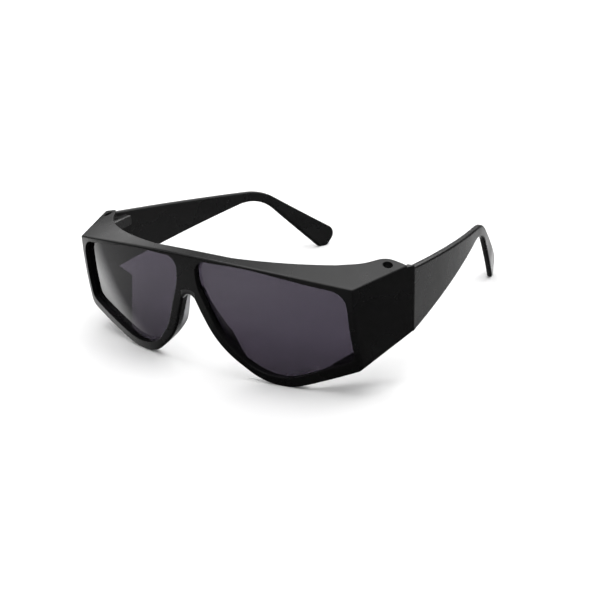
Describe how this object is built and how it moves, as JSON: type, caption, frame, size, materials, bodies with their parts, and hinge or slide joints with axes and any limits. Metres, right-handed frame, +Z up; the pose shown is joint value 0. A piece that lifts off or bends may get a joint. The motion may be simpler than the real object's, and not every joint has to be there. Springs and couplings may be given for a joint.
{
  "type": "safety glasses",
  "caption": "Wrap-around over-spectacle safety glasses with a flat brow, deep side shields, tinted lenses and folding temples.",
  "frame": {"origin": "on the table, under the middle of the overall box of the glasses with both temples open", "axes": "+X across the front towards the right-hand temple, +Y from the brow back towards the temple tips, +Z up from the table"},
  "size_m": [0.1512, 0.17, 0.0498],
  "materials": {
    "frame_plastic": "satin-gloss moulded black plastic",
    "bridge_plastic": "slightly softer black plastic with a fine grain",
    "temple_plastic": "satin-gloss moulded black plastic",
    "tinted_lens": "clear smoke-grey plastic sheet, polished both sides",
    "pin_steel": "turned steel, dull"
  },
  "bodies": {
    "frame": {"front_frame": "frame_plastic", "nose_bridge": "bridge_plastic", "lens_left": "tinted_lens", "lens_right": "tinted_lens", "hinge_pin_left": "pin_steel", "hinge_pin_right": "pin_steel"},
    "temple_left": {"temple_left": "temple_plastic"},
    "temple_right": {"temple_right": "temple_plastic"}
  },
  "joints": [
    {"name": "temple_right_fold", "type": "hinge", "parent": "frame", "child": "temple_right", "pos_m": [0.0688, -0.05503, 0.0365], "axis": [0, 0, 1], "range_deg": [0, 78.5]},
    {"name": "temple_left_fold", "type": "hinge", "parent": "frame", "child": "temple_left", "pos_m": [-0.0688, -0.05503, 0.0365], "axis": [0, 0, -1], "range_deg": [0, 64]}
  ]
}
